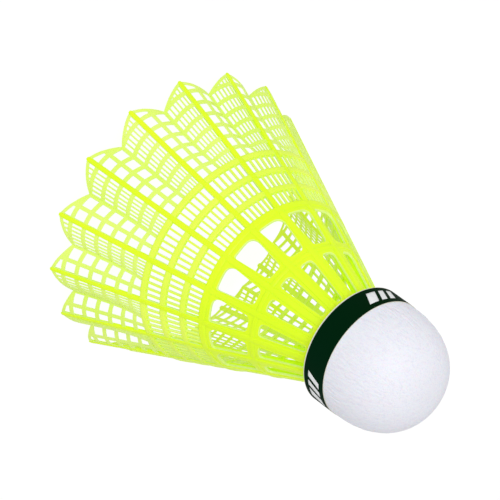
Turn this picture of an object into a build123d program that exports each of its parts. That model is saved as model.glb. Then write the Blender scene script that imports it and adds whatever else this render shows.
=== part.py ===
"""Synthetic badminton shuttlecock, millimetres.

The shuttlecock stands on the sixteen tips of its moulded skirt, with the cork up.
+Z is the flight axis, from the open rim of the skirt (z = 0) to the nose of the cork.
The origin is the centre of the circle that the tips stand on.

The skirt is a straight cone: sixteen ribs, a windowed web next to the cork, a slotted
lattice in three bands, and a pleated net of one coarse and one fine panel in each bay.
Its spigot is glued into a socket in the cork, which wears a leather cover and a tape band.
"""
from build123d import *
import math
import os

# ---- driving dimensions -------------------------------------------------------------
BAYS = 16                       # ribs, and bays between them
TIP_RADIUS = 33.5               # outer face of a rib at the rim
CORK_FACE_Z = 57.8              # flat face of the cork, where the skirt enters it
OVERALL_LENGTH = 79.6
HEAD_RADIUS = 13.25             # over the tape band
TAPER = 0.41                    # loss of skirt radius for each millimetre of height

PITCH = 360 / BAYS
HALF_PITCH = PITCH / 2

# ribs, as plain tapered bars
RIB_WIDTH_TIP, RIB_WIDTH_ROOT = 1.0, 1.6
RIB_DEPTH_TIP, RIB_DEPTH_ROOT = 0.7, 2.0

# heights of the hoops, from the rim to the cork
NET_HOOPS = (2.8, 5.8, 8.8, 11.8, 14.8, 17.7)
RING_A, RING_B, RING_C, RING_D, RING_E = 20.6, 24.9, 29.2, 33.5, 44.2
HOOP_HALF = 0.56                # half height of rings A, B and C
RING_D_HALF, RING_E_HALF = 0.7, 0.48

# sheet thicknesses and how far the sheets lie under the ribs' outer faces
NET_THICK = 0.3
WEB_THICK = 0.5
NET_SINK, WEB_SINK = 0.2, 0.18
RING_PROUD = 0.2

# pleated net
PLEAT_DEPTH = 2.2               # how far the net falls from the ribs to the valley
PLEAT_POWER = 2.0               # roundness of each scallop across the bay
PLEAT_FADE = 3.5                # how late the pleat fades out towards ring A
RIM_RISE = 2.6                  # the valley ends this far above the tips
RIM_BAND = 0.7
FACET_BAYS = (0, 0.2, 0.36, 0.5)    # breaks between the facets of one panel
FACET_HEIGHTS = (8.8, 14.8)
COARSE_COLUMNS, FINE_COLUMNS = 2, 6
COARSE_BAR, FINE_BAR = 0.8, 0.34
VALLEY_BAR = 0.75
NET_HOOP_WIDTH = 0.88
RIB_MARGIN = 0.1                # net or web left beside a rib before the first opening

# lattice and windows
SLOTS = 6
SLOT_SHARE = 0.62               # of the slot pitch that is open
RING_D_MARGIN, RING_E_MARGIN = 0.8, 0.75
WINDOW_SIDE = 0.5               # web left beside the ribs towards the cork
LARGE_CORNERS = (1.9, 0.5, 1.2)     # wide, tight and cork-side corner radii
SMALL_CORNERS = (1.2, 0.7, 0.6)
COLLAR_HEIGHT = 1.8

# hub, spigot and socket
FLANGE_THICK = 0.8
HUB_INNER = 8.1
FLANGE_RADIUS = 10.4
SPIGOT_RADIUS = 9.5
SPIGOT_LENGTH = 9.0
HUB_FLOOR = 1.0
GATE_RADIUS, GATE_HEIGHT = 1.2, 0.6
GLUE_WALL, GLUE_FLOOR = 0.1, 0.3

# head
BAND_THICK = 0.12
BAND_START, BAND_WIDTH = 0.3, 5.95
COVER_THICK = 0.4
DOME_POWER = 2.35               # 2 is an ellipse, more is squarer
DOME_POINTS = 9

FLANGE_Z = CORK_FACE_Z - FLANGE_THICK
COVER_RADIUS = HEAD_RADIUS - BAND_THICK
CORE_RADIUS = COVER_RADIUS - COVER_THICK
DOME_START = CORK_FACE_Z + BAND_START + BAND_WIDTH


# ---- shape of the skirt -------------------------------------------------------------
def cone_radius(z):
    """Outer face of the ribs at height z."""
    return TIP_RADIUS - TAPER * z


def share(z, start, end):
    """How far z is from start to end, as 0 to 1."""
    return min(1.0, max(0.0, (z - start) / (end - start)))


def net_radius(bay, z):
    """Outer face of the pleated net; bay is 0 at one rib and 1 at the next.
    The net arches from rib to rib with its valley in mid-bay."""
    across = 2 * min(bay, 1 - bay)
    fade = 1 - share(z, 0, RING_A) ** PLEAT_FADE
    return cone_radius(z) - NET_SINK - fade * PLEAT_DEPTH * across ** PLEAT_POWER


def on_net(bay, z):
    """A point of the net, with the bay's middle on the +X axis.
    The coarse half of the bay lies towards +Y."""
    angle = math.radians((0.5 - bay) * PITCH)
    radius = net_radius(bay, z)
    return (radius * math.cos(angle), radius * math.sin(angle), z)


def rim_height(bay):
    """Height of the net's free edge: lowest at the ribs, highest in the valley."""
    return RIM_RISE * 2 * min(bay, 1 - bay)


# ---- ribs ---------------------------------------------------------------------------
def flat_sided(outlines):
    """A solid from the corner lists of its flat faces."""
    faces = [Face(Wire.make_polygon(outline, close=True)) for outline in outlines]
    return Solid(Shell(faces))


def make_rib():
    """One straight tapered bar on the +X side, from the rim to the flange."""
    ends = []
    for z, width, depth in (
        (0, RIB_WIDTH_TIP, RIB_DEPTH_TIP),
        (FLANGE_Z, RIB_WIDTH_ROOT, RIB_DEPTH_ROOT),
    ):
        outer, half = cone_radius(z), width / 2
        inner = outer - depth
        ends.append([(inner, -half, z), (outer, -half, z), (outer, half, z), (inner, half, z)])
    foot, root = ends
    sides = [
        (foot[i], foot[(i + 1) % 4], root[(i + 1) % 4], root[i]) for i in range(4)
    ]
    return flat_sided([foot[::-1], root, *sides])


def neighbours(rib):
    """The two ribs beside the bay whose middle is on the +X axis."""
    return [Rot(0, 0, turn) * rib for turn in (-HALF_PITCH, HALF_PITCH)]


# ---- openings -----------------------------------------------------------------------
def through_bay(face):
    """A prism through the bay on the +X side, from a face drawn in (y, z)."""
    upright = Plane(origin=(0, 0, 0), x_dir=(0, 1, 0), z_dir=(1, 0, 0)) * face
    return extrude(upright, amount=TIP_RADIUS + 2, dir=(1, 0, 0))


def bay_prism(*corners):
    """The same from the (y, z) corners of a polygon."""
    return through_bay(make_face(Polyline(*corners, close=True)))


# ---- pleated net --------------------------------------------------------------------
def net_sheet():
    """One bay of unpierced net: two arched panels of flat facets that meet in a valley.
    Its inner face is the outer one moved towards the axis."""
    columns = [*FACET_BAYS, *[1 - bay for bay in reversed(FACET_BAYS[:-1])]]
    top = RING_A - HOOP_HALF
    grid = [
        [on_net(bay, z) for z in (rim_height(bay), *FACET_HEIGHTS, top)] for bay in columns
    ]
    rows = len(grid[0])
    facets = []
    for near, far in zip(grid, grid[1:]):
        for j in range(rows - 1):
            facets.append((near[j], far[j], far[j + 1]))
            facets.append((near[j], far[j + 1], near[j + 1]))
    border = [
        *[column[0] for column in grid],
        *grid[-1][1:],
        *[column[-1] for column in reversed(grid[:-1])],
        *reversed(grid[0][1:-1]),
    ]
    edges = zip(border, border[1:] + border[:1])

    def moved(point):
        return (point[0] - NET_THICK, point[1], point[2])

    inner = [tuple(moved(point) for point in reversed(facet)) for facet in facets]
    walls = [(end, start, moved(start), moved(end)) for start, end in edges]
    return flat_sided([*facets, *inner, *walls])


def opening(low_bay, high_bay, low_z, high_z):
    """A prism through the sheet between two shares of the bay and two heights.
    Its lower edge follows the free rim where that is higher."""
    corners = []
    for bay in (low_bay, high_bay):
        bottom = max(low_z, rim_height(bay) + RIM_BAND)
        corners.append((bay, bottom))
    if any(bottom > high_z - 0.35 for _, bottom in corners):
        return None
    (left, left_z), (right, right_z) = corners
    return bay_prism(
        (on_net(left, left_z)[1], left_z),
        (on_net(right, right_z)[1], right_z),
        (on_net(right, high_z)[1], high_z),
        (on_net(left, high_z)[1], high_z),
    )


def column_edges(start, end, columns, bar, z):
    """Shares of the bay where each opening of a row starts and ends."""
    per_mm = 360 / (PITCH * 2 * math.pi * cone_radius(z))
    width = (end - start - (columns - 1) * bar * per_mm) / columns
    step = width + bar * per_mm
    return [(start + i * step, start + i * step + width) for i in range(columns)]


def net_openings():
    """Prisms for every opening of one bay's net, row by row."""
    levels = (-NET_HOOP_WIDTH / 2, *NET_HOOPS, RING_A - HOOP_HALF + NET_HOOP_WIDTH / 2)
    tools = []
    for low, high in zip(levels, levels[1:]):
        low_z, high_z = low + NET_HOOP_WIDTH / 2, high - NET_HOOP_WIDTH / 2
        z = (low_z + high_z) / 2
        per_mm = 360 / (PITCH * 2 * math.pi * cone_radius(z))
        rib = (RIB_WIDTH_TIP / 2 + RIB_MARGIN) * per_mm
        valley = VALLEY_BAR / 2 * per_mm
        columns = column_edges(rib, 0.5 - valley, COARSE_COLUMNS, COARSE_BAR, z)
        columns += column_edges(0.5 + valley, 1 - rib, FINE_COLUMNS, FINE_BAR, z)
        tools += [opening(a, b, low_z, high_z) for a, b in columns]
    return [tool for tool in tools if tool]


def make_net(rib):
    """One bay of pleated net: a coarse panel, a valley and a fine panel."""
    return net_sheet() - neighbours(rib) - net_openings()


# ---- lattice and windowed web -------------------------------------------------------
def cone_band(low_z, high_z, sink, thick):
    """One bay of a conical hoop, its outer face sink under the ribs' outer faces."""
    profile = Polyline(
        (cone_radius(low_z) - sink, 0, low_z),
        (cone_radius(high_z) - sink, 0, high_z),
        (cone_radius(high_z) - sink - thick, 0, high_z),
        (cone_radius(low_z) - sink - thick, 0, low_z),
        close=True,
    )
    band = revolve(make_face(profile), Axis.Z, revolution_arc=PITCH)
    return Rot(0, 0, -HALF_PITCH) * band


def raised_ring(z, half):
    """A heavier hoop on the sheet, proud of it on both sides."""
    return cone_band(z - half, z + half, WEB_SINK - RING_PROUD, WEB_THICK + 2 * RING_PROUD)


def half_opening(z):
    """Half the clear width between two ribs at height z."""
    width = RIB_WIDTH_TIP + (RIB_WIDTH_ROOT - RIB_WIDTH_TIP) * share(z, 0, FLANGE_Z)
    return cone_radius(z) * math.sin(math.radians(HALF_PITCH)) - width / 2 - RIB_MARGIN


def make_lattice(rib):
    """One bay of the slotted lattice, from ring A to the edge of ring D."""
    low, high = RING_A - HOOP_HALF, RING_D - RING_D_HALF
    bay = cone_band(low, high, WEB_SINK, WEB_THICK)
    for z in (RING_A, RING_B, RING_C):
        bay += raised_ring(z, HOOP_HALF)
    edges = [RING_A, RING_B, RING_C, high + HOOP_HALF]
    slots = []
    for start, end in zip(edges, edges[1:]):
        low_z, high_z = start + HOOP_HALF, end - HOOP_HALF
        for i in range(SLOTS):
            corners = []
            for z, order in ((low_z, (0, 1)), (high_z, (1, 0))):
                step = 2 * half_opening(z) / (SLOTS - 1 + SLOT_SHARE)
                left = -half_opening(z) + i * step
                corners += [(left + SLOT_SHARE * step * o, z) for o in order]
            slots.append(bay_prism(*corners))
    return bay - neighbours(rib) - slots


def window(low_z, high_z, low_margin, corner_radii):
    """A window with a wide and a tight corner at its rim end, and even ones at the other."""
    wide, tight, even = corner_radii
    low = half_opening(low_z) - low_margin
    high = half_opening(high_z) - WINDOW_SIDE
    outline = make_face(
        Polyline((-low, low_z), (low, low_z), (high, high_z), (-high, high_z), close=True)
    )
    for x, z, radius in (
        (-low, low_z, wide),
        (low, low_z, tight),
        (high, high_z, even),
        (-high, high_z, even),
    ):
        corner = outline.vertices().sort_by_distance((x, z, 0))[0]
        outline = fillet(corner, radius)
    return through_bay(outline)


def make_windowed_web(rib):
    """One bay of web between ring D and the flange, with its two windows."""
    bay = cone_band(RING_D - RING_D_HALF, FLANGE_Z, WEB_SINK, WEB_THICK)
    bay += raised_ring(RING_D, RING_D_HALF)
    bay += raised_ring(RING_E, RING_E_HALF)
    large = window(
        RING_D + RING_D_HALF + RING_D_MARGIN, RING_E - RING_E_HALF - RING_E_MARGIN,
        0, LARGE_CORNERS,
    )
    small = window(
        RING_E + RING_E_HALF + RING_E_MARGIN, FLANGE_Z - COLLAR_HEIGHT,
        WINDOW_SIDE, SMALL_CORNERS,
    )
    return bay - neighbours(rib) - [large, small]


# ---- hub, glue and head -------------------------------------------------------------
def turned(*outline):
    """A solid of revolution from its (radius, z) outline."""
    profile = Polyline(*[(radius, 0, z) for radius, z in outline], close=True)
    return revolve(make_face(profile), Axis.Z)


def make_hub():
    """Flange, spigot and closed floor, with the moulding gate's stub on the floor."""
    end_z = CORK_FACE_Z + SPIGOT_LENGTH
    floor_z = end_z - HUB_FLOOR
    return turned(
        (HUB_INNER, FLANGE_Z),
        (FLANGE_RADIUS, FLANGE_Z),
        (FLANGE_RADIUS, CORK_FACE_Z),
        (SPIGOT_RADIUS, CORK_FACE_Z),
        (SPIGOT_RADIUS, end_z),
        (0, end_z),
        (0, floor_z - GATE_HEIGHT),
        (GATE_RADIUS, floor_z - GATE_HEIGHT),
        (GATE_RADIUS, floor_z),
        (HUB_INNER, floor_z),
    )


def make_glue():
    """The cup of adhesive between the spigot and its socket."""
    end_z = CORK_FACE_Z + SPIGOT_LENGTH
    return turned(
        (SPIGOT_RADIUS, CORK_FACE_Z),
        (SPIGOT_RADIUS + GLUE_WALL, CORK_FACE_Z),
        (SPIGOT_RADIUS + GLUE_WALL, end_z + GLUE_FLOOR),
        (0, end_z + GLUE_FLOOR),
        (0, end_z),
        (SPIGOT_RADIUS, end_z),
    )


def dome_points(radius, nose_z):
    """Points of a slightly squared dome, from the cylinder's edge to the nose."""
    height = nose_z - DOME_START
    points = []
    for i in range(DOME_POINTS):
        angle = math.pi / 2 * i / (DOME_POINTS - 1)
        x = radius * math.cos(angle) ** (2 / DOME_POWER)
        z = DOME_START + height * math.sin(angle) ** (2 / DOME_POWER)
        points.append((max(x, 0) if i < DOME_POINTS - 1 else 0, 0, z))
    return points


def dome_edge(radius, nose_z):
    """The dome's profile, upright at the cylinder and level at the nose."""
    return Spline(dome_points(radius, nose_z), tangents=[(0, 0, 1), (-1, 0, 0)])


def make_core():
    """The cork: a domed cylinder with the socket for the spigot."""
    nose = OVERALL_LENGTH - COVER_THICK
    socket_radius = SPIGOT_RADIUS + GLUE_WALL
    socket_z = CORK_FACE_Z + SPIGOT_LENGTH + GLUE_FLOOR
    below = Polyline(
        (0, 0, nose),
        (0, 0, socket_z),
        (socket_radius, 0, socket_z),
        (socket_radius, 0, CORK_FACE_Z),
        (CORE_RADIUS, 0, CORK_FACE_Z),
        (CORE_RADIUS, 0, DOME_START),
    )
    return revolve(make_face([*below.edges(), dome_edge(CORE_RADIUS, nose)]), Axis.Z)


def make_cover():
    """The leather skin over the dome and up the side of the cork."""
    nose = OVERALL_LENGTH - COVER_THICK
    edges = [
        dome_edge(COVER_RADIUS, OVERALL_LENGTH),
        Line((0, 0, OVERALL_LENGTH), (0, 0, nose)),
        dome_edge(CORE_RADIUS, nose),
        Line((CORE_RADIUS, 0, DOME_START), (CORE_RADIUS, 0, CORK_FACE_Z)),
        Line((CORE_RADIUS, 0, CORK_FACE_Z), (COVER_RADIUS, 0, CORK_FACE_Z)),
        Line((COVER_RADIUS, 0, CORK_FACE_Z), (COVER_RADIUS, 0, DOME_START)),
    ]
    return revolve(make_face(edges), Axis.Z)


def make_band():
    """The tape round the cork, a little short of the cork's flat face."""
    start = CORK_FACE_Z + BAND_START
    return turned(
        (COVER_RADIUS, start),
        (HEAD_RADIUS, start),
        (HEAD_RADIUS, start + BAND_WIDTH),
        (COVER_RADIUS, start + BAND_WIDTH),
    )


# ---- assembly -----------------------------------------------------------------------
def write(name, shape):
    export_step(shape, f"parts/{name}.step")


def main():
    os.makedirs("parts", exist_ok=True)
    rib = make_rib()
    net = make_net(rib)
    lattice = make_lattice(rib)
    web = make_windowed_web(rib)
    for i in range(BAYS):
        write(f"rib_{i + 1:02d}", Rot(0, 0, i * PITCH) * rib)
        write(f"feather_net_{i + 1:02d}", Rot(0, 0, i * PITCH + HALF_PITCH) * net)
    turns = [i * PITCH + HALF_PITCH for i in range(BAYS)]
    write("lattice_band", Compound([Rot(0, 0, turn) * lattice for turn in turns]))
    write("window_web", Compound([Rot(0, 0, turn) * web for turn in turns]))
    write("skirt_hub", make_hub())
    write("socket_glue", make_glue())
    write("cork_core", make_core())
    write("leather_cover", make_cover())
    write("head_band", make_band())


main()
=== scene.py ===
"""Looks for a synthetic badminton shuttlecock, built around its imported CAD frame.

The moulded skirt is rebuilt bay by bay as perforated sheets, bars and hoops with rounded
edges. The cork wears a wrinkled leather cover and a printed tape band.
Shapes are worked out in millimetres and scaled to metres when a mesh is made.
"""
import math
import bpy
import bmesh
import numpy as np
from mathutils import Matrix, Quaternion, Vector, noise


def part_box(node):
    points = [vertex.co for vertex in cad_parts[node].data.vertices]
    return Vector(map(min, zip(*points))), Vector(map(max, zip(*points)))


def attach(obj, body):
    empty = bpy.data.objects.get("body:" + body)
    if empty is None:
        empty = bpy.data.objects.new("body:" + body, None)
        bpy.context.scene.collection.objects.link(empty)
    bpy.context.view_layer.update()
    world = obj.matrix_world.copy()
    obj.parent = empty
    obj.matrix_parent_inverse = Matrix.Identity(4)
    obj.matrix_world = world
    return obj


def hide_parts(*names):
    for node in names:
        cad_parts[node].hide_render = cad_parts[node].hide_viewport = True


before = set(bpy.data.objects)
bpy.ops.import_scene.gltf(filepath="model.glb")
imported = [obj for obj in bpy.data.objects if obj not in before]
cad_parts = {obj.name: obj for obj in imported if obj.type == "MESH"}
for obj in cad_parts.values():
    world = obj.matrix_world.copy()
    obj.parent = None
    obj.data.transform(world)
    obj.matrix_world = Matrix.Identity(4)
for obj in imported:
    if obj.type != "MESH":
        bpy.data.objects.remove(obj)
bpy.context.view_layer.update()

MM = 0.001
BODY = "root"


def node_box(name):
    """Lowest and highest corner of a CAD node, in millimetres."""
    low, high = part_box(name)
    return low / MM, high / MM


# ---- sizes, in millimetres -----------------------------------------------------------
BAYS = sum(name.startswith("rib_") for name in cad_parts)
PITCH = 360 / BAYS
TAPER = 0.41                                # loss of skirt radius per millimetre of height
TIP_RADIUS = node_box("rib_01")[1].x
FLANGE_Z = node_box("rib_01")[1].z
NET_TOP = node_box("feather_net_01")[1].z
CORK_FACE_Z = node_box("cork_core")[0].z
BAND_LOW, BAND_HIGH = (corner.z for corner in node_box("head_band"))
HEAD_RADIUS = node_box("head_band")[1].x
COVER_RADIUS = node_box("leather_cover")[1].x
NOSE_Z = node_box("leather_cover")[1].z

RIB_WIDTH_TIP, RIB_WIDTH_ROOT = 1.0, 1.6
RIB_DEPTH_TIP, RIB_DEPTH_ROOT, RIB_DEPTH_POWER = 0.7, 2.8, 4
RIB_ROUNDING, TIP_ROUNDING = 0.28, 0.6

NET_HOOPS = (2.8, 5.8, 8.8, 11.8, 14.8, 17.7)
RING_A, RING_B, RING_C, RING_D, RING_E = 20.6, 24.9, 29.2, 33.5, 44.2
HOOP_HALF, RING_D_HALF, RING_E_HALF = 0.56, 0.7, 0.48
HOOP_SECTION = (0.1, 0.8, 0.15)             # proud of the web, radial depth, edge rounding
RING_D_SECTION = (0.2, 1.05, 0.3)
RING_E_SECTION = (0.16, 0.9, 0.25)

NET_THICK, WEB_THICK = 0.25, 0.5
WEB_SINK = 0.18
NET_SINK, PLEAT_DEPTH, PLEAT_POWER, PLEAT_FADE = 0.2, 2.2, 2.0, 3.5
RIM_RISE, RIM_BAND = 2.6, 0.7
COARSE_COLUMNS, COARSE_BAR = 2, 0.87
FINE_COLUMNS, FINE_BAR = 6, 0.34
NET_HOOP_WIDTH, VALLEY_BAR = 0.9, 0.75
RIB_MARGIN, LEAST_OPENING = 0.08, 0.2
EDGE_ROUNDING = 0.07

SLOTS, LATTICE_BAR, LATTICE_RIB_MARGIN = 6, 0.45, 0.18
RING_D_MARGIN, RING_E_MARGIN = 0.8, 0.75
WINDOW_SIDE, COLLAR_HEIGHT, WINDOW_ROUNDING = 0.5, 1.8, 0.2
LARGE_CORNERS = (1.9, 0.5, 1.2)             # wide, tight and cork-side corners of a window
SMALL_CORNERS = (1.2, 0.8, 0.6)

DOME_POWER = 2.35
COVER_THICK, TAPE_THICK = 0.4, 0.12
COVER_TURN_UNDER, COVER_EDGE_RADIUS = 1.2, 0.22
WRINKLE_DEPTH, WRINKLES_PER_MM = 0.2, 2.1
SMOOTH_NOSE = 0.97                          # share of the dome's height where wrinkles stop
LAP_START, LAP_WIDTH = 150, 26              # in degrees
LAP_PROUD, PRINT_PROUD, PATCH_SINK = 0.08, 0.015, 0.02
PRINT_GROUPS, PRINT_ANGLE, PRINT_LEAN, PRINT_MARGIN = 3, -4, 7, 1.4
PRINT_BARS = ((0, 6), (10, 6), (20, 10))    # start and width of each bar, in degrees

# ---- light and camera; distances to the lamp and its size are in metres ---------------
NYLON_GLOW, FLOOR_GLOW = 0.09, 0.93
LOW_SKY, HIGH_SKY = 0.72, 0.8               # light from below and from above
SKY_FROM, SKY_TO = -0.6, 0.5                # upward parts of the directions between them
KEY_AZIMUTH, KEY_ELEVATION = 32, 38
KEY_DISTANCE, KEY_SIZE, KEY_POWER = 0.8, 0.4, 2.2
CAMERA_AZIMUTH, CAMERA_ELEVATION, CAMERA_ROLL = 42.33, 38.82, 126.35
CAMERA_DISTANCE, CAMERA_AIM = 522.9, (-2.25, -2.05, 21.95)
LENS, SENSOR = 180, 36


# ---- node trees ----------------------------------------------------------------------
class Shader:
    """A node-based material with one Principled shader."""

    def __init__(self, name):
        self.material = bpy.data.materials.new(name)
        self.material.use_nodes = True
        self.tree = self.material.node_tree
        self.shader = self.tree.nodes["Principled BSDF"]
        self.place = self.add("ShaderNodeTexCoord").outputs["Object"]

    def add(self, kind, inputs=None, **settings):
        node = self.tree.nodes.new(kind)
        for key, value in settings.items():
            setattr(node, key, value)
        for key, value in (inputs or {}).items():
            self.feed(node.inputs[key], value)
        return node

    def feed(self, socket, value):
        """A socket takes another node's output, or a plain value."""
        if isinstance(value, bpy.types.NodeSocket):
            self.tree.links.new(value, socket)
        else:
            socket.default_value = value

    def set(self, **values):
        """Principled inputs, with underscores for the spaces in their names."""
        sockets = {socket.name.lower(): socket for socket in self.shader.inputs}
        for key, value in values.items():
            self.feed(sockets[key.replace("_", " ")], value)

    def noise(self, scale, detail=3.0, place=None, stretch=(1, 1, 1)):
        """Noise in the object's own space; scale is in features per metre."""
        mapping = self.add(
            "ShaderNodeMapping", {"Vector": place or self.place, "Scale": stretch}
        )
        return self.add(
            "ShaderNodeTexNoise",
            {"Vector": mapping.outputs[0], "Scale": scale, "Detail": detail},
        ).outputs["Fac"]

    def ramp(self, factor, *stops):
        """A colour ramp; each stop is (place, colour)."""
        node = self.add("ShaderNodeValToRGB", {"Fac": factor})
        points = node.color_ramp.elements
        while len(points) < len(stops):
            points.new(0.5)
        for point, (where, colour) in zip(points, stops):
            point.position = where
            point.color = (*colour, 1)
        return node.outputs["Color"]

    def bump(self, height, distance, strength=1.0, under=None):
        inputs = {"Height": height, "Distance": distance, "Strength": strength}
        if under:
            inputs["Normal"] = under
        return self.add("ShaderNodeBump", inputs).outputs["Normal"]


def nylon(name, dark, light):
    """Fluorescent moulded nylon: soft flow marks, a faint mould grain and some glow."""
    mat = Shader(name)
    flow = mat.noise(90, 4, stretch=(1, 1, 0.35))
    mat.set(base_color=mat.ramp(flow, (0.35, dark), (0.7, light)))
    rough = mat.add(
        "ShaderNodeMapRange", {"Value": mat.noise(700, 2), "To Min": 0.28, "To Max": 0.42}
    )
    mat.set(roughness=rough.outputs[0])
    mat.set(normal=mat.bump(mat.noise(1800, 3), 0.00003, 0.5))
    mat.set(ior=1.53, specular_ior_level=0.3, subsurface_weight=0.25, subsurface_scale=0.002)
    mat.set(subsurface_radius=(1.0, 1.0, 0.25))
    # the emission stands partly for the nylon's real fluorescence and partly is a painted glow that
    # lifts faces lying in shade
    mat.set(emission_color=(*light, 1), emission_strength=NYLON_GLOW)
    return mat.material


def leather():
    """White coated leather with fine stretched wrinkles and pores; painted shade makes their
    hollows greyer.
    """
    mat = Shader("white_leather")
    wrinkles = mat.noise(1900, 3, stretch=(1, 1, 0.25))
    pores = mat.noise(4200, 2)
    hollow_shade_mask = mat.add("ShaderNodeMath", {0: wrinkles, 1: pores}, operation="ADD").outputs[0]
    # painted shade: the wrinkle and pore hollows are coloured darker and bluer than the ridges
    groove_painted_shade, middle, ridge = (0.76, 0.76, 0.85), (0.81, 0.81, 0.88), (0.825, 0.825, 0.89)
    mat.set(base_color=mat.ramp(hollow_shade_mask, (0.75, groove_painted_shade), (0.95, middle), (1.2, ridge)))
    broad = mat.bump(wrinkles, 0.0002, 0.8)
    mat.set(normal=mat.bump(pores, 0.00005, 0.6, broad))
    mat.set(roughness=0.5, ior=1.45, subsurface_weight=0.1, subsurface_scale=0.001)
    return mat.material


def tape():
    """Dark green printed tape with pale cut edges and a faint film texture."""
    mat = Shader("green_tape")
    height = mat.add("ShaderNodeSeparateXYZ", {"Vector": mat.place}).outputs["Z"]
    along = mat.add(
        "ShaderNodeMapRange",
        {"Value": height, "From Min": BAND_LOW * MM, "From Max": BAND_HIGH * MM},
    ).outputs[0]
    green, teal, paper = (0.0, 0.014, 0.002), (0.0, 0.016, 0.005), (0.72, 0.70, 0.58)
    body = mat.ramp(mat.noise(40, 2), (0.35, green), (0.65, teal))
    cut, film = (1, 1, 1), (0, 0, 0)
    edges = mat.ramp(along, (0.02, cut), (0.03, film), (0.985, film), (0.992, cut))
    mixed = mat.add("ShaderNodeMix", data_type="RGBA")
    mat.feed(mixed.inputs["Factor"], edges)
    mat.feed(mixed.inputs["A"], body)
    mat.feed(mixed.inputs["B"], (*paper, 1))
    mat.set(base_color=mixed.outputs["Result"])
    mat.set(normal=mat.bump(mat.noise(1500, 3), 0.00002, 0.4))
    mat.set(roughness=0.5, specular_ior_level=0.012)
    return mat.material


def print_ink():
    """White ink, a little uneven."""
    mat = Shader("white_ink")
    thin, full = (0.74, 0.75, 0.76), (0.85, 0.86, 0.87)
    mat.set(base_color=mat.ramp(mat.noise(800, 4), (0.3, thin), (0.7, full)))
    mat.set(roughness=0.5, normal=mat.bump(mat.noise(2500, 2), 0.00001, 0.3))
    return mat.material


def cork():
    """Pressed cork: tan granules with darker seams."""
    mat = Shader("cork")
    grains = mat.add("ShaderNodeTexVoronoi", {"Vector": mat.place, "Scale": 700.0})
    distance = grains.outputs["Distance"]
    granule, seam = (0.55, 0.36, 0.19), (0.30, 0.17, 0.08)
    mat.set(base_color=mat.ramp(distance, (0.1, granule), (0.8, seam)))
    mat.set(normal=mat.bump(distance, 0.0001, 0.6), roughness=0.85)
    return mat.material


def glue():
    """Pale dried adhesive."""
    mat = Shader("adhesive")
    dark, light = (0.70, 0.66, 0.50), (0.82, 0.80, 0.68)
    mat.set(base_color=mat.ramp(mat.noise(500, 3), (0.3, dark), (0.7, light)))
    mat.set(roughness=0.25, normal=mat.bump(mat.noise(900, 2), 0.00005, 0.5))
    return mat.material


def studio_floor():
    """A sheet that glows evenly, so that it stays white under the skirt."""
    mat = Shader("pale_floor")
    low, high = (0.09, 0.09, 0.09), (0.11, 0.11, 0.11)
    mat.set(base_color=mat.ramp(mat.noise(30, 2), (0.3, low), (0.7, high)))
    mat.set(roughness=0.9, specular_ior_level=0.0)
    mat.set(emission_color=(1, 1, 1, 1), emission_strength=FLOOR_GLOW)
    return mat.material


# copies of one nylon: thin sheets are painted paler than thick bars, a painted backlight shining
# through the thin nylon; the lattice copy is a little paler for the same reason, and the cut edges
# take the palest copy as a painted backlit sheen
RIB_NYLON = nylon("nylon_ribs", (0.665, 0.935, 0.004), (0.735, 0.985, 0.012))
LATTICE_NYLON = nylon("nylon_lattice", (0.68, 0.92, 0.05), (0.77, 0.97, 0.09))
NET_NYLON_BACKLIT = nylon("nylon_net_backlit", (0.63, 0.89, 0.11), (0.73, 0.95, 0.18))
EDGE_NYLON_BACKLIT_SHEEN = nylon("nylon_edges_backlit_sheen", (0.66, 0.85, 0.20), (0.76, 0.93, 0.30))


# ---- meshes --------------------------------------------------------------------------
def add_piece(name, points, painted, slot, replaces=(), rounding=0.0, segments=2):
    """A closed mesh that rides on the body, with its sharp edges rounded.
    Painted is a list of (faces, material) pairs."""
    mesh = bpy.data.meshes.new(name)
    every_face = [face for faces, _ in painted for face in faces]
    mesh.from_pydata([[value * MM for value in point] for point in points], [], every_face)
    for _, material in painted:
        mesh.materials.append(material)
    paint = [index for index, (faces, _) in enumerate(painted) for _ in faces]
    mesh.polygons.foreach_set("material_index", paint)
    work = bmesh.new()
    work.from_mesh(mesh)
    bmesh.ops.remove_doubles(work, verts=work.verts, dist=1e-6)
    bmesh.ops.dissolve_degenerate(work, edges=work.edges, dist=1e-6)
    bmesh.ops.recalc_face_normals(work, faces=work.faces)
    work.to_mesh(mesh)
    work.free()
    mesh.shade_smooth()
    piece = bpy.data.objects.new(name, mesh)
    bpy.context.scene.collection.objects.link(piece)
    if rounding:
        bevel = piece.modifiers.new("rounded_edges", "BEVEL")
        bevel.width = rounding * MM
        bevel.segments = segments
        bevel.limit_method = "ANGLE"
        bevel.angle_limit = math.radians(40)
        bevel.harden_normals = True
    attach(piece, BODY)
    if replaces:
        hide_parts(*replaces)
    return piece


def turned_piece(name, outline, material, slot, segments=192, shape=tuple, **options):
    """A closed ring or solid of revolution from its closed (radius, z) outline.
    shape moves each point once it is placed."""
    points, faces = [], []
    count = len(outline)
    for i in range(segments):
        angle = 2 * math.pi * i / segments
        points += [shape((r * math.cos(angle), r * math.sin(angle), z)) for r, z in outline]
        for j in range(count):
            a, b = i * count + j, i * count + (j + 1) % count
            shift = count if i + 1 < segments else -i * count
            faces.append((a, b, b + shift, a + shift))
    return add_piece(name, points, [(faces, material)], slot, **options)


def share(z, start, end):
    """How far z is from start to end, as 0 to 1."""
    return min(1.0, max(0.0, (z - start) / (end - start)))


def cone_radius(z):
    """Outer face of the ribs."""
    return TIP_RADIUS - TAPER * z


def web_radius(bay, z):
    """Outer face of the plain conical web."""
    return cone_radius(z) - WEB_SINK


def net_radius(bay, z):
    """Outer face of the pleated net: it arches from rib to rib, its valley in mid-bay."""
    within = bay % 1
    across = 2 * min(within, 1 - within)
    fade = 1 - share(z, 0, RING_A) ** PLEAT_FADE
    return cone_radius(z) - NET_SINK - fade * PLEAT_DEPTH * across ** PLEAT_POWER


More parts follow.
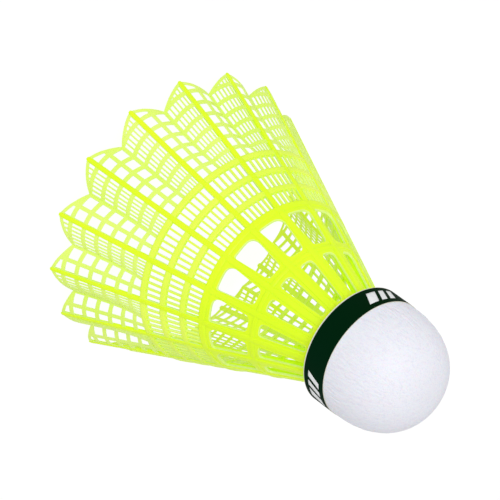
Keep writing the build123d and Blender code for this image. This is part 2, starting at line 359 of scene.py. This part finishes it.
def on_skirt(radius, bay, z):
    """A point of a skirt surface. Bay n starts at rib n + 2 and ends at rib n + 1."""
    angle = math.radians((1 - bay) * PITCH)
    r = radius(bay, z)
    return np.array((r * math.cos(angle), r * math.sin(angle), z))


def inward(radius, bay, z):
    """Unit vector through the sheet, towards the axis."""
    step = 0.01
    across = on_skirt(radius, bay + step, z) - on_skirt(radius, bay - step, z)
    along = on_skirt(radius, bay, z + step) - on_skirt(radius, bay, z - step)
    normal = np.cross(along, across)
    normal /= np.linalg.norm(normal)
    return -normal if normal @ on_skirt(radius, bay, 0) > 0 else normal


def perforated(columns, heights, is_open, radius, thickness, closed=False):
    """Points, outer faces, inner faces and walls of a sheet on a grid of columns.
    Cells are left out where is_open(row, column). columns(z) gives every column's place at a
    height, so that bars keep their width as the skirt narrows. heights(bay) gives the row
    edges of a column from its place in the middle of the net, as many for every column."""
    middle = columns(NET_TOP / 2)
    rows = len(heights(middle[0]))
    points, outside, inside, walls = [], [], [], []
    for column, bay in enumerate(middle):
        for z in heights(bay):
            bay_here = columns(z)[column]
            outer = on_skirt(radius, bay_here, z)
            inner = outer + thickness * inward(radius, bay_here, z)
            inner[2] = max(inner[2], 0)
            points += [outer, inner]
    count = len(middle)

    def corner(column, row, side):
        return 2 * ((column % count) * rows + row) + side

    def solid(row, column):
        if closed:
            column %= count
        elif not 0 <= column < count - 1:
            return False
        return 0 <= row < rows - 1 and not is_open(row, column)

    for column in range(count if closed else count - 1):
        for row in range(rows - 1):
            if not solid(row, column):
                continue
            loop = ((column, row), (column + 1, row), (column + 1, row + 1), (column, row + 1))
            outside.append([corner(*at, 0) for at in loop])
            inside.append([corner(*at, 1) for at in reversed(loop)])
            beside = ((row - 1, column), (row, column + 1), (row + 1, column), (row, column - 1))
            for i, neighbour in enumerate(beside):
                if not solid(*neighbour):
                    a, b = loop[i], loop[(i + 1) % 4]
                    walls.append([corner(*a, 1), corner(*b, 1), corner(*b, 0), corner(*a, 0)])
    return points, outside, inside, walls


# ---- skirt ---------------------------------------------------------------------------
def make_rib(index):
    """A tapered bar with a rounded outer face and tip, from the rim to the flange.
    fullness grows from a half at the tip to one, and rounds the tip off."""
    tip_steps, bar_steps, corner_steps = 6, 12, 5
    heights = [
        TIP_ROUNDING * (1 - math.cos(math.pi / 2 * step / tip_steps)) for step in range(tip_steps)
    ]
    heights += [
        TIP_ROUNDING + (FLANGE_Z - TIP_ROUNDING) * step / bar_steps for step in range(bar_steps + 1)
    ]
    levels = len(heights)
    angle = math.radians(index * PITCH)
    points, faces = [], []
    for level, z in enumerate(heights):
        part = z / FLANGE_Z
        fullness = 0.5 + 0.5 * math.sin(math.pi / 2 * min(1, level / tip_steps))
        half = fullness * (RIB_WIDTH_TIP + (RIB_WIDTH_ROOT - RIB_WIDTH_TIP) * part) / 2
        depth = RIB_DEPTH_TIP + (RIB_DEPTH_ROOT - RIB_DEPTH_TIP) * part ** RIB_DEPTH_POWER
        outline = [(-depth, -half), (-depth, half)]
        for side in (1, -1):
            for step in range(corner_steps):
                turn = math.pi / 2 * step / (corner_steps - 1)
                turn = turn if side == 1 else math.pi / 2 - turn
                outline.append((
                    RIB_ROUNDING * (math.sin(turn) - 1),
                    side * (half - RIB_ROUNDING * fullness * (1 - math.cos(turn))),
                ))
        for out, across in outline:
            r = cone_radius(z) + out - (1 - fullness) * RIB_ROUNDING
            points.append((
                r * math.cos(angle) - across * math.sin(angle),
                r * math.sin(angle) + across * math.cos(angle),
                z,
            ))
    count = len(outline)
    for level in range(levels - 1):
        for i in range(count):
            a, b = level * count + i, level * count + (i + 1) % count
            faces.append((a, b, b + count, a + count))
    faces.append(list(range(count))[::-1])
    faces.append([(levels - 1) * count + i for i in range(count)])
    name = f"rib_{index + 1:02d}"
    return add_piece(
        f"skirt_{name}", points, [(faces, RIB_NYLON)], "skirt_nylon", (name,), EDGE_ROUNDING
    )


def spread(start, end, bars, bar, steps):
    """Column edges of a panel: openings each cut in steps, with a bar between them.
    The second list says which columns are open."""
    opening = (end - start - (bars - 1) * bar) / bars
    edges, is_open = [], []
    for i in range(bars):
        low = start + i * (opening + bar)
        edges += [low + opening * step / steps for step in range(steps + 1)]
        is_open += [True] * steps + [False]
    return edges, is_open


def bay_width(z):
    """From rib to rib along the cone, in millimetres."""
    return math.radians(PITCH) * cone_radius(z)


def net_columns(z):
    """Column edges across one bay at height z, and which columns have openings."""
    across = bay_width(z)
    rib = (RIB_WIDTH_TIP / 2 + RIB_MARGIN) / across
    valley = VALLEY_BAR / 2 / across
    coarse, coarse_open = spread(rib, 0.5 - valley, COARSE_COLUMNS, COARSE_BAR / across, 4)
    fine, fine_open = spread(0.5 + valley, 1 - rib, FINE_COLUMNS, FINE_BAR / across, 1)
    edges = [0.0, *coarse, 0.5, *fine, 1.0]
    is_open = [False, *coarse_open[:-1], False, False, *fine_open[:-1], False]
    return edges, is_open


def net_heights(bay):
    """Row edges at one place across the bay, from the scalloped rim up."""
    half = NET_HOOP_WIDTH / 2
    rim = RIM_RISE * 2 * min(bay, 1 - bay)
    first = max(rim, NET_HOOPS[0] - half)
    heights = [rim, min(rim + RIM_BAND, first), first, NET_HOOPS[0] + half]
    for hoop in NET_HOOPS[1:]:
        heights += [hoop - half, hoop + half]
    return heights + [NET_TOP]


def make_net(index):
    """One bay of the pleated net: a coarse panel, a valley and a fine panel."""
    columns, open_columns = net_columns(NET_TOP / 2)

    def is_open(row, column):
        if row % 2 == 0 or not open_columns[column]:
            return False
        gaps = []
        for bay in columns[column:column + 2]:
            heights = net_heights(bay)
            gaps.append(heights[row + 1] - heights[row])
        return max(gaps) > LEAST_OPENING

    points, outside, inside, walls = perforated(
        lambda z: net_columns(z)[0],
        net_heights,
        is_open,
        net_radius,
        NET_THICK,
    )
    turn = math.radians(index * PITCH)
    spun = [
        (x * math.cos(turn) - y * math.sin(turn), x * math.sin(turn) + y * math.cos(turn), z)
        for x, y, z in points
    ]
    name = f"feather_net_{index + 1:02d}"
    # outer faces take the paler painted-backlight copy and the walls the painted backlit sheen;
    # inner faces keep the full colour
    painted = [(outside, NET_NYLON_BACKLIT), (inside, RIB_NYLON), (walls, EDGE_NYLON_BACKLIT_SHEEN)]
    return add_piece(f"skirt_{name}", spun, painted, "skirt_nylon", (name,), EDGE_ROUNDING)


def make_lattice():
    """The slotted cone between the net and ring D."""
    def columns_in_bay(z):
        rib = (RIB_WIDTH_TIP / 2 + LATTICE_RIB_MARGIN) / bay_width(z)
        return spread(rib, 1 - rib, SLOTS, LATTICE_BAR / bay_width(z), 1)

    def columns(z):
        per_bay = [0.0, *columns_in_bay(z)[0]]
        return [bay + edge for bay in range(BAYS) for edge in per_bay]

    is_open = [False, *columns_in_bay(RING_B)[1]] * BAYS
    heights = [
        RING_A - HOOP_HALF, RING_A + HOOP_HALF,
        RING_B - HOOP_HALF, RING_B + HOOP_HALF,
        RING_C - HOOP_HALF, RING_C + HOOP_HALF,
        RING_D - RING_D_HALF, RING_D + RING_D_HALF,
    ]
    points, outside, inside, walls = perforated(
        columns,
        lambda bay: heights,
        lambda row, column: row % 2 == 1 and is_open[column],
        web_radius,
        WEB_THICK,
        closed=True,
    )
    # the slot walls take the painted backlit sheen
    painted = [(outside, LATTICE_NYLON), (inside, RIB_NYLON), (walls, EDGE_NYLON_BACKLIT_SHEEN)]
    return add_piece(
        "skirt_lattice", points, painted, "skirt_nylon", ("lattice_band",), EDGE_ROUNDING
    )


def make_hoop(name, z, half, section, material):
    """A raised hoop that follows the skirt's taper."""
    proud, depth, rounding = section

    def at(height, inset):
        return (cone_radius(height) - WEB_SINK + proud - inset, height)

    outline = [at(z - half, 0), at(z + half, 0), at(z + half, depth), at(z - half, depth)]
    return turned_piece(name, outline, material, "skirt_nylon", rounding=rounding, segments=256)


def rounded_window(low_z, high_z, low_margin, radii):
    """Points round a window in (across, z), with its corners rounded and points along its
    sides. radii are of the wide, tight and even corners."""
    wide, tight, even = radii
    corner_steps, side_points = 8, (0.25, 0.5, 0.75)

    def half_opening(z):
        width = RIB_WIDTH_TIP + (RIB_WIDTH_ROOT - RIB_WIDTH_TIP) * share(z, 0, FLANGE_Z)
        return cone_radius(z) * math.sin(math.radians(PITCH / 2)) - width / 2 - RIB_MARGIN

    low = half_opening(low_z) - low_margin
    high = half_opening(high_z) - WINDOW_SIDE
    corners = [
        (np.array((-low, low_z)), wide),
        (np.array((low, low_z)), tight),
        (np.array((high, high_z)), even),
        (np.array((-high, high_z)), even),
    ]
    loop = []
    for i, (corner, radius) in enumerate(corners):
        before = corners[i - 1][0] - corner
        after = corners[(i + 1) % 4][0] - corner
        before, after = before / np.linalg.norm(before), after / np.linalg.norm(after)
        half_angle = math.acos(max(-1, min(1, before @ after))) / 2
        reach = radius / math.tan(half_angle)
        start, end = corner + before * reach, corner + after * reach
        for step in range(corner_steps + 1):
            t = step / corner_steps
            loop.append((1 - t) ** 2 * start + 2 * t * (1 - t) * corner + t ** 2 * end)
        far = corners[(i + 1) % 4]
        far_reach = far[1] / math.tan(half_angle)
        for t in side_points:
            loop.append(end + (far[0] - after * far_reach - end) * t)
    return loop


def frame_edge(inner, centre, low, high):
    """Where a ray from a window's centre through inner leaves the bay's cell."""
    ray = inner - centre
    reach = 1e9
    if ray[1]:
        reach = ((high if ray[1] > 0 else low) - centre[1]) / ray[1]
    # the cell's sides lean with the cone: |across| = slope * (apex - z)
    slope = TAPER * math.radians(PITCH / 2)
    apex = TIP_RADIUS / TAPER
    if ray[0]:
        rise = abs(ray[0]) + slope * ray[1]
        if rise > 0:
            reach = min(reach, slope * (apex - centre[1]) / rise)
    return centre + ray * reach


def make_web():
    """Thirty-two window frames; their joints lie under the ribs and rings."""
    cells = (
        (
            RING_D - RING_D_HALF / 2, RING_E, 0, LARGE_CORNERS,
            RING_D + RING_D_HALF + RING_D_MARGIN, RING_E - RING_E_HALF - RING_E_MARGIN,
        ),
        (
            RING_E, FLANGE_Z, WINDOW_SIDE, SMALL_CORNERS,
            RING_E + RING_E_HALF + RING_E_MARGIN, FLANGE_Z - COLLAR_HEIGHT,
        ),
    )
    points, outside, inside, walls = [], [], [], []
    for bay in range(BAYS):
        turn = math.radians((bay + 0.5) * PITCH)
        for low, high, margin, radii, window_low, window_high in cells:
            loop = rounded_window(window_low, window_high, margin, radii)
            centre = np.array((0, (window_low + window_high) / 2))
            start, count = len(points), len(loop)
            for inner in loop:
                for across, z in (inner, frame_edge(inner, centre, low, high)):
                    angle = turn + across / cone_radius(z)
                    for depth in (0, WEB_THICK):
                        r = cone_radius(z) - WEB_SINK - depth
                        points.append((r * math.cos(angle), r * math.sin(angle), z))
            for i in range(count):
                a = start + 4 * i
                b = start + 4 * ((i + 1) % count)
                outside.append((a, b, b + 2, a + 2))
                inside.append((a + 1, a + 3, b + 3, b + 1))
                walls += [(a, a + 1, b + 1, b), (a + 2, b + 2, b + 3, a + 3)]
    # the window walls take the painted backlit sheen
    painted = [(outside + inside, RIB_NYLON), (walls, EDGE_NYLON_BACKLIT_SHEEN)]
    web = add_piece(
        "skirt_windows", points, painted, "skirt_nylon", ("window_web",), WINDOW_ROUNDING, 3
    )
    # the rounded edges take the painted backlit sheen too
    web.modifiers["rounded_edges"].material = 1
    return web


def make_skirt():
    """Every piece of the moulding but its hub, which stays as the CAD node."""
    for index in range(BAYS):
        make_rib(index)
        make_net(index)
    make_lattice()
    make_web()
    for name, z in (("a", RING_A), ("b", RING_B), ("c", RING_C)):
        make_hoop(f"skirt_hoop_{name}", z, HOOP_HALF, HOOP_SECTION, LATTICE_NYLON)
    make_hoop("skirt_hoop_d", RING_D, RING_D_HALF, RING_D_SECTION, RIB_NYLON)
    make_hoop("skirt_hoop_e", RING_E, RING_E_HALF, RING_E_SECTION, RIB_NYLON)


# ---- head ----------------------------------------------------------------------------
def wrinkled(point):
    """Fine wrinkles that run from the band to the nose and die out on the way."""
    x, y, z = point
    up = share(z, BAND_HIGH, NOSE_Z)
    if z <= BAND_HIGH or up > SMOOTH_NOSE:
        return point
    r = math.hypot(x, y)
    round_the_axis = Vector((x, y, 0)) * (COVER_RADIUS / r * WRINKLES_PER_MM)
    folds = noise.noise(round_the_axis + Vector((0, 0, 0.5 * z)))
    patches = 0.6 + noise.noise(Vector((0.2 * x, 0.2 * y, 0.2 * z)))
    depth = WRINKLE_DEPTH * r / COVER_RADIUS * (1 - up) * folds * patches * min(1, 12 * up)
    out = Vector((x, y, (z - BAND_HIGH) * 1.2)).normalized()
    return tuple(Vector(point) + out * depth)


def make_cover():
    """The leather skin: a squared dome over a cylinder, with its edge turned under."""
    height = NOSE_Z - BAND_HIGH
    edge_steps, dome_steps, segments = 5, 90, 900
    turned_in = COVER_RADIUS - COVER_TURN_UNDER
    outline = [(turned_in, CORK_FACE_Z + 0.02)]
    for step in range(edge_steps):
        turn = math.pi / 2 * step / (edge_steps - 1)
        outline.append((
            COVER_RADIUS - COVER_EDGE_RADIUS * (1 - math.sin(turn)),
            CORK_FACE_Z + COVER_EDGE_RADIUS * (1 - math.cos(turn)),
        ))
    for step in range(dome_steps):
        turn = math.pi / 2 * step / dome_steps
        outline.append((
            COVER_RADIUS * math.cos(turn) ** (2 / DOME_POWER),
            BAND_HIGH + height * math.sin(turn) ** (2 / DOME_POWER),
        ))
    outline.append((0, NOSE_Z))
    under = [(r - COVER_THICK, z - COVER_THICK) for r, z in outline[-12::-8] if r > 1]
    outline += [(0, NOSE_Z - COVER_THICK), *under, (turned_in, BAND_HIGH)]
    return turned_piece(
        "leather_skin", outline, leather(), "cover_leather", segments,
        replaces=("leather_cover",), shape=wrinkled,
    )


def arc_patch(start, end, low, high, inner, outer, lean=0.0, steps=6):
    """A closed patch wrapped on the band, its ends leaning by an angle towards the nose."""
    points, faces = [], []
    for column in range(steps + 1):
        for row in range(steps + 1):
            angle = math.radians(start + (end - start) * column / steps + lean * row / steps)
            z = low + (high - low) * row / steps
            points += [(r * math.cos(angle), r * math.sin(angle), z) for r in (inner, outer)]

    def corner(column, row, side):
        return 2 * (column * (steps + 1) + row) + side

    for i in range(steps):
        for j in range(steps):
            loop = ((i, j), (i + 1, j), (i + 1, j + 1), (i, j + 1))
            faces.append([corner(*at, 1) for at in loop])
            faces.append([corner(*at, 0) for at in reversed(loop)])
        for a, b in (
            ((i, 0), (i + 1, 0)), ((i + 1, steps), (i, steps)),
            ((steps, i), (steps, i + 1)), ((0, i + 1), (0, i)),
        ):
            faces.append([corner(*a, 0), corner(*b, 0), corner(*b, 1), corner(*a, 1)])
    return points, faces


def make_band():
    """The tape, and the lap where its end goes over its start, on the far side."""
    material = tape()
    outline = [
        (HEAD_RADIUS - TAPE_THICK, BAND_LOW), (HEAD_RADIUS, BAND_LOW),
        (HEAD_RADIUS, BAND_HIGH), (HEAD_RADIUS - TAPE_THICK, BAND_HIGH),
    ]
    turned_piece(
        "tape_band", outline, material, "band_tape", 360, replaces=("head_band",), rounding=0.04
    )
    points, faces = arc_patch(
        LAP_START, LAP_START + LAP_WIDTH, BAND_LOW, BAND_HIGH,
        HEAD_RADIUS - PATCH_SINK, HEAD_RADIUS + LAP_PROUD,
    )
    add_piece("tape_lap", points, [(faces, material)], "band_tape", rounding=0.03)


def make_prints():
    """Plain slanted bars printed on the tape, in groups spread evenly round it."""
    points, faces = [], []
    low, high = BAND_LOW + PRINT_MARGIN, BAND_HIGH - PRINT_MARGIN
    for group in range(PRINT_GROUPS):
        for offset, width in PRINT_BARS:
            start = PRINT_ANGLE + group * 360 / PRINT_GROUPS + offset
            patch, sides = arc_patch(
                start, start + width, low, high,
                HEAD_RADIUS - PATCH_SINK, HEAD_RADIUS + PRINT_PROUD, PRINT_LEAN,
            )
            base = len(points)
            points += patch
            faces += [[base + corner for corner in side] for side in sides]
    return add_piece("band_print", points, [(faces, print_ink())], "band_tape")


def paint_nodes():
    """Materials for the CAD nodes that stay."""
    for name, material in (
        ("skirt_hub", RIB_NYLON), ("socket_glue", glue()), ("cork_core", cork()),
    ):
        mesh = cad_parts[name].data
        mesh.materials.clear()
        mesh.materials.append(material)


# ---- studio --------------------------------------------------------------------------
def make_floor():
    """The sheet that the tips stand on; it neither lights the object nor shows in it."""
    bpy.ops.mesh.primitive_plane_add(size=6, location=(0, 0, 0))
    floor = bpy.context.object
    floor.name = "floor"
    floor.data.materials.append(studio_floor())
    floor.visible_diffuse = False
    floor.visible_glossy = False


def direction_to(azimuth, elevation):
    """Unit vector from the object towards a lamp or the camera, from angles in degrees."""
    a, e = math.radians(azimuth), math.radians(elevation)
    return Vector((math.sin(a) * math.cos(e), -math.cos(a) * math.cos(e), math.sin(e)))


def make_light(name, azimuth, elevation, distance, size, power):
    """A soft square light aimed at the middle of the object."""
    data = bpy.data.lights.new(name, "AREA")
    data.size = size
    data.energy = power
    lamp = bpy.data.objects.new(name, data)
    back = direction_to(azimuth, elevation)
    lamp.location = Vector((0, 0, NOSE_Z / 2 * MM)) + back * distance
    lamp.rotation_mode = "QUATERNION"
    lamp.rotation_quaternion = (-back).to_track_quat("-Z", "Y")
    bpy.context.scene.collection.objects.link(lamp)


def make_studio():
    """The floor, a white surround that is a little brighter above, and one soft key light."""
    make_floor()
    world = bpy.data.worlds.new("studio")
    world.use_nodes = True
    tree = world.node_tree
    direction = tree.nodes.new("ShaderNodeTexCoord")
    height = tree.nodes.new("ShaderNodeSeparateXYZ")
    sky = tree.nodes.new("ShaderNodeMapRange")
    tree.links.new(direction.outputs["Generated"], height.inputs["Vector"])
    tree.links.new(height.outputs["Z"], sky.inputs["Value"])
    sky_range = {
        "From Min": SKY_FROM, "From Max": SKY_TO, "To Min": LOW_SKY, "To Max": HIGH_SKY,
    }
    for name, value in sky_range.items():
        sky.inputs[name].default_value = value
    tree.links.new(sky.outputs[0], tree.nodes["Background"].inputs["Strength"])
    tree.nodes["Background"].inputs["Color"].default_value = (1, 1, 1, 1)
    bpy.context.scene.world = world
    make_light("key", KEY_AZIMUTH, KEY_ELEVATION, KEY_DISTANCE, KEY_SIZE, KEY_POWER)
    bpy.context.scene.view_settings.view_transform = "Standard"


def make_camera():
    """A long lens looking down past the cork, rolled so that the nose points low right."""
    data = bpy.data.cameras.new("camera")
    data.lens, data.sensor_width = LENS, SENSOR
    camera = bpy.data.objects.new("camera", data)
    back = direction_to(CAMERA_AZIMUTH, CAMERA_ELEVATION)
    camera.location = (Vector(CAMERA_AIM) + back * CAMERA_DISTANCE) * MM
    camera.rotation_mode = "QUATERNION"
    spin = Quaternion((0, 0, 1), math.radians(CAMERA_ROLL))
    camera.rotation_quaternion = (-back).to_track_quat("-Z", "Y") @ spin
    bpy.context.scene.collection.objects.link(camera)
    bpy.context.scene.camera = camera


make_camera()
make_skirt()
make_cover()
make_band()
make_prints()
paint_nodes()
make_studio()
